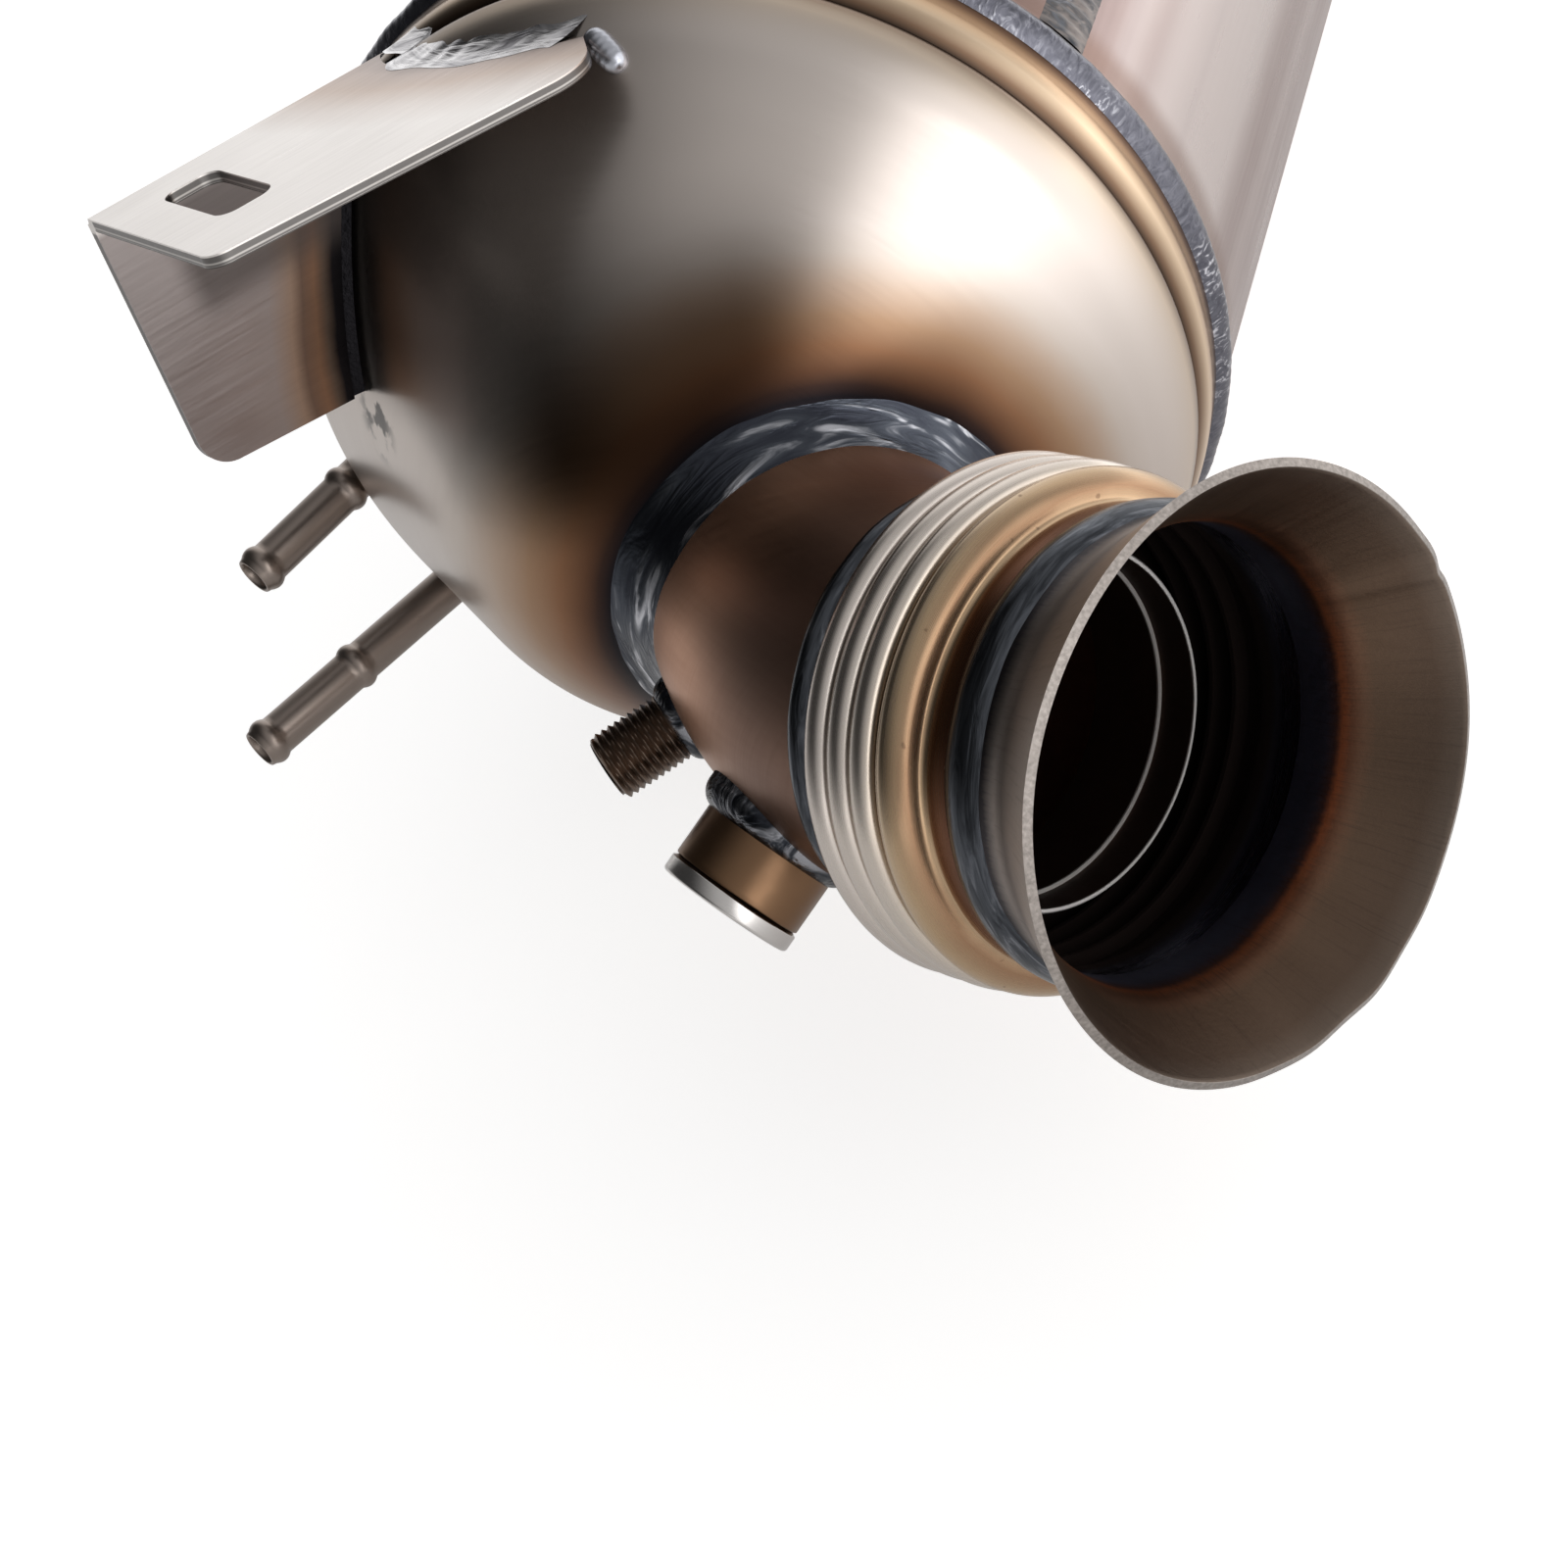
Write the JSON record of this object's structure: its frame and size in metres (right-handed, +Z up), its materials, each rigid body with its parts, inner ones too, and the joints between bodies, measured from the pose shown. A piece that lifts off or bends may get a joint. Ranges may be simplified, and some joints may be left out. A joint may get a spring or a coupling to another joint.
{
  "type": "diesel particulate filter",
  "caption": "Round exhaust filter canister with a domed outlet end, an offset bellows outlet with a flared mouth, a folded bracket, pressure pipes and a sensor boss.",
  "frame": {"origin": "centre of the inlet flange's face", "axes": "Y along the canister with the domed outlet end towards -Y, +Z up, the outlet pipe turns towards +X"},
  "size_m": [0.2453, 0.4722, 0.1753],
  "materials": {
    "can_steel": "satin",
    "dome_steel": "brushed",
    "weld_bead": "rough bead",
    "seam_weld": "rough bead",
    "dark_weld": "heat blued",
    "heated_steel": "heat browned",
    "bronzed_steel": "heat browned",
    "polished_steel": "polished",
    "pipe_steel": "satin",
    "bracket_steel": "brushed",
    "bracket_weld_metal": "polished weld",
    "bellows_steel": "satin",
    "flare_steel": "brushed",
    "liner_steel": "sooted",
    "ceramic": "porous ceramic",
    "support_mat": "fibre mat"
  },
  "bodies": {
    "root": {"can_shell": "can_steel", "outlet_rim_weld": "weld_bead", "inlet_rim_weld": "weld_bead", "can_seam_weld": "seam_weld", "filter_monolith": "ceramic", "filter_mat": "support_mat", "catalyst_monolith": "ceramic", "catalyst_mat": "support_mat", "outlet_retaining_ring": "can_steel", "inlet_retaining_ring": "can_steel", "inlet_cone": "can_steel", "inlet_neck": "can_steel", "inlet_flange": "can_steel", "inlet_neck_weld": "weld_bead", "neck_weld": "dark_weld", "threaded_nipple": "heated_steel", "sensor_boss": "bronzed_steel", "sensor_boss_ring": "polished_steel", "nipple_weld": "dark_weld", "sensor_boss_weld": "dark_weld", "outlet_neck": "heated_steel", "upper_pressure_pipe": "pipe_steel", "upper_pipe_weld": "dark_weld", "lower_pressure_pipe": "pipe_steel", "lower_pipe_weld": "dark_weld", "outlet_dome": "dome_steel", "mounting_bracket": "bracket_steel", "bracket_weld": "bracket_weld_metal", "bracket_corner_weld": "bracket_weld_metal", "bellows": "bellows_steel", "bellows_weld": "dark_weld", "flared_outlet": "flare_steel", "flare_weld": "dark_weld", "outer_liner": "liner_steel", "inner_liner": "liner_steel"}
  },
  "joints": []
}
